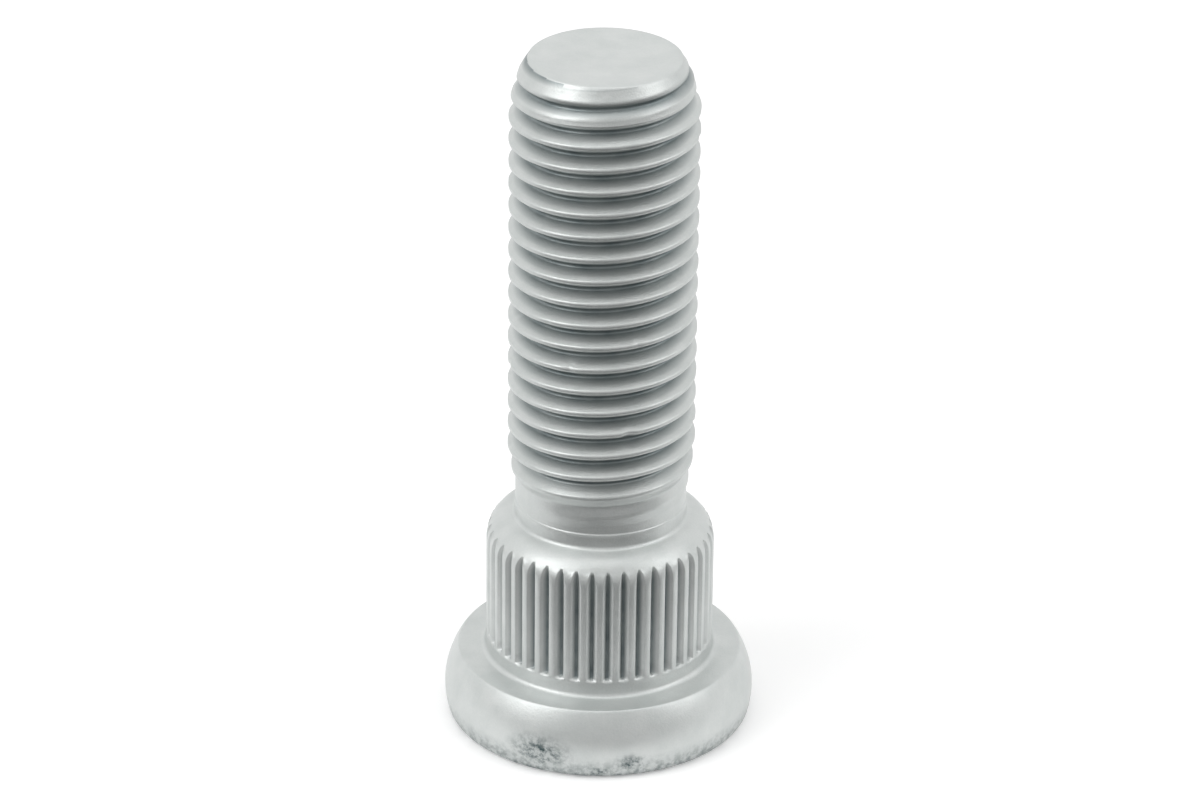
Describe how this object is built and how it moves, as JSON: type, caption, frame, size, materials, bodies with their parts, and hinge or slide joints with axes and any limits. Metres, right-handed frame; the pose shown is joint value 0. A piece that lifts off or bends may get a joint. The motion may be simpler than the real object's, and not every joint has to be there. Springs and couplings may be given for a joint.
{
  "type": "wheel bolt",
  "caption": "Press-in wheel bolt: round barrel-edged head, straight-serrated press-fit shank, plain neck and right-hand metric fine thread with a chamfered, dished tip.",
  "frame": {"origin": "centre of the head's flat end", "axes": "+Z along the bolt's axis, from the head's flat end to the thread's tip; the bolt stands on its head"},
  "size_m": [0.0198, 0.0198, 0.0455],
  "materials": {
    "zinc_coated_steel": "matt silver-grey zinc coating with a fine sparkle"
  },
  "bodies": {
    "root": {"wheel_bolt": "zinc_coated_steel"}
  },
  "joints": []
}
